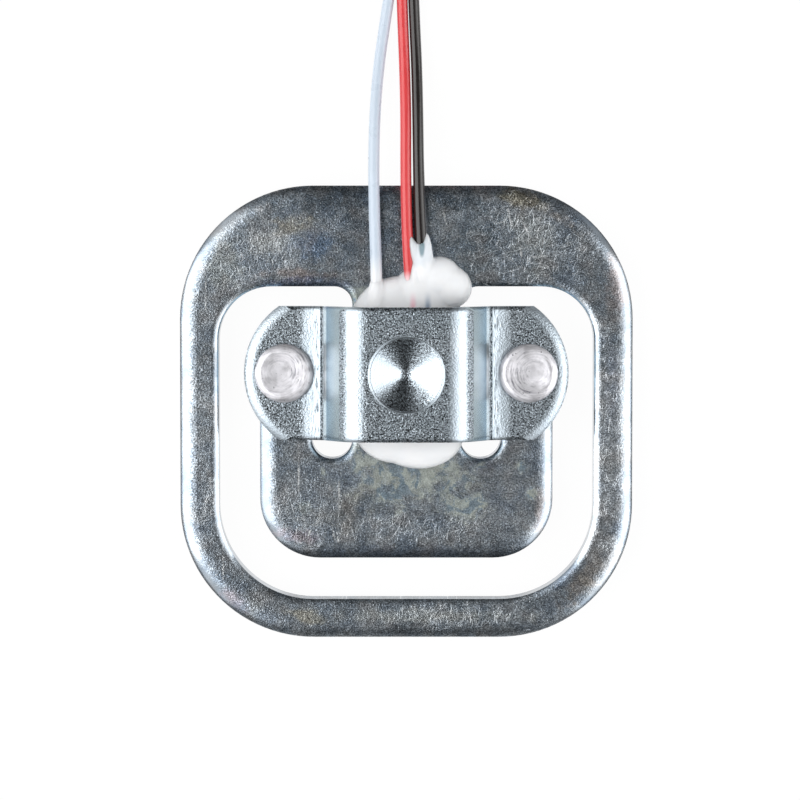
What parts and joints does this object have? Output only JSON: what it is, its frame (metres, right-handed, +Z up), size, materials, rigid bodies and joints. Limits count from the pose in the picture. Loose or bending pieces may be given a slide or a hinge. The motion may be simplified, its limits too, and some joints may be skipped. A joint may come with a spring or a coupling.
{
  "type": "half-bridge plate load cell",
  "caption": "Flat square load cell: a stamped steel spring plate with a bending beam, a riveted bridge strap with a load dimple, a sealed strain gauge and thin leads.",
  "frame": {"origin": "middle of the spring plate's underside, on the surface that the part lies on", "axes": "+Z up, out of the load dimple; +Y along the bending beam, the way the leads leave; +X to the right with the leads at the top"},
  "size_m": [0.034, 0.072, 0.0067],
  "materials": {
    "zinc_plate": "zinc-plated stamped steel, scuffed",
    "zinc_strap": "zinc-plated pressed steel, finely pitted",
    "rivet_steel": "bare steel with the swirl of orbital forming",
    "film": "polyimide film",
    "foil": "etched constantan foil",
    "solder": "bright solder",
    "tinned_copper": "twisted, tinned copper strands",
    "silicone": "cured white silicone sealant, satin",
    "white_pvc": "extruded PVC",
    "red_pvc": "extruded PVC",
    "black_pvc": "extruded PVC",
    "coil_pvc": "the three leads wound together",
    "tie_pvc": "plastic-coated twist tie"
  },
  "bodies": {
    "root": {"spring_plate": "zinc_plate", "load_bridge": "zinc_strap", "rivet_left": "rivet_steel", "rivet_right": "rivet_steel", "gauge_film": "film", "gauge_foil": "foil", "sealant": "silicone", "wire_coil": "coil_pvc", "coil_tie": "tie_pvc", "solder_white": "solder", "conductor_white": "tinned_copper", "wire_white": "white_pvc", "tinned_end_white": "tinned_copper", "solder_red": "solder", "conductor_red": "tinned_copper", "wire_red": "red_pvc", "tinned_end_red": "tinned_copper", "solder_black": "solder", "conductor_black": "tinned_copper", "wire_black": "black_pvc", "tinned_end_black": "tinned_copper"}
  },
  "joints": []
}
